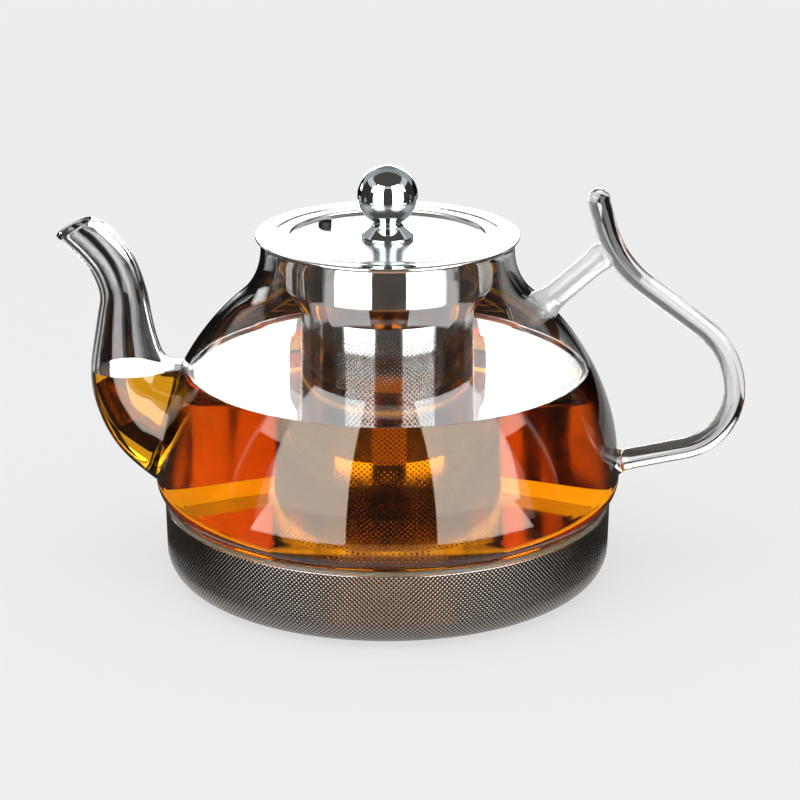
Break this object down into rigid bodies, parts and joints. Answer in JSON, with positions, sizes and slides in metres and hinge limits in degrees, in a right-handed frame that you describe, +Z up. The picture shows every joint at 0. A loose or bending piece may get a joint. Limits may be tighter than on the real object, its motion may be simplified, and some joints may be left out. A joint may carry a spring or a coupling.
{
  "type": "glass teapot",
  "caption": "Round clear glass teapot with a swan-neck spout and bent rod handle, bonded on a dimpled steel base, with a lift-out steel strainer and a lid with a ball knob.",
  "frame": {"origin": "centre of the steel base's flat underside", "axes": "+Z up along the pot's axis, +X from the spout to the handle, so the spout points to -X and the user's usual front view looks along +Y"},
  "size_m": [0.2073, 0.1412, 0.1268],
  "materials": {
    "dimpled_steel": "rows of small raised bright dots on darker steel",
    "aluminium": "mill finish",
    "satin_steel": "satin",
    "clear_silicone": "translucent",
    "clear_glass": "clear, fire polished",
    "polished_steel": "mirror polished",
    "perforated_steel": "finely perforated sheet",
    "chrome_knob": "mirror polished"
  },
  "bodies": {
    "pot": {"base_pan": "dimpled_steel", "heat_spreader": "aluminium", "inner_plate": "satin_steel", "seal_ring": "clear_silicone", "glass_body": "clear_glass", "spout": "clear_glass", "handle": "clear_glass", "handle_strut": "clear_glass"},
    "strainer": {"strainer_collar": "polished_steel", "strainer_sleeve": "perforated_steel", "strainer_floor": "perforated_steel"},
    "lid": {"lid_plate": "polished_steel", "lid_knob": "chrome_knob", "knob_washer": "satin_steel", "knob_screw": "satin_steel"}
  },
  "joints": [
    {"name": "strainer_lift", "type": "slide", "parent": "pot", "child": "strainer", "axis": [0, 0, 1], "range_m": [0, 0.1]},
    {"name": "lid_lift", "type": "slide", "parent": "strainer", "child": "lid", "axis": [0, 0, 1], "range_m": [0, 0.06]}
  ]
}
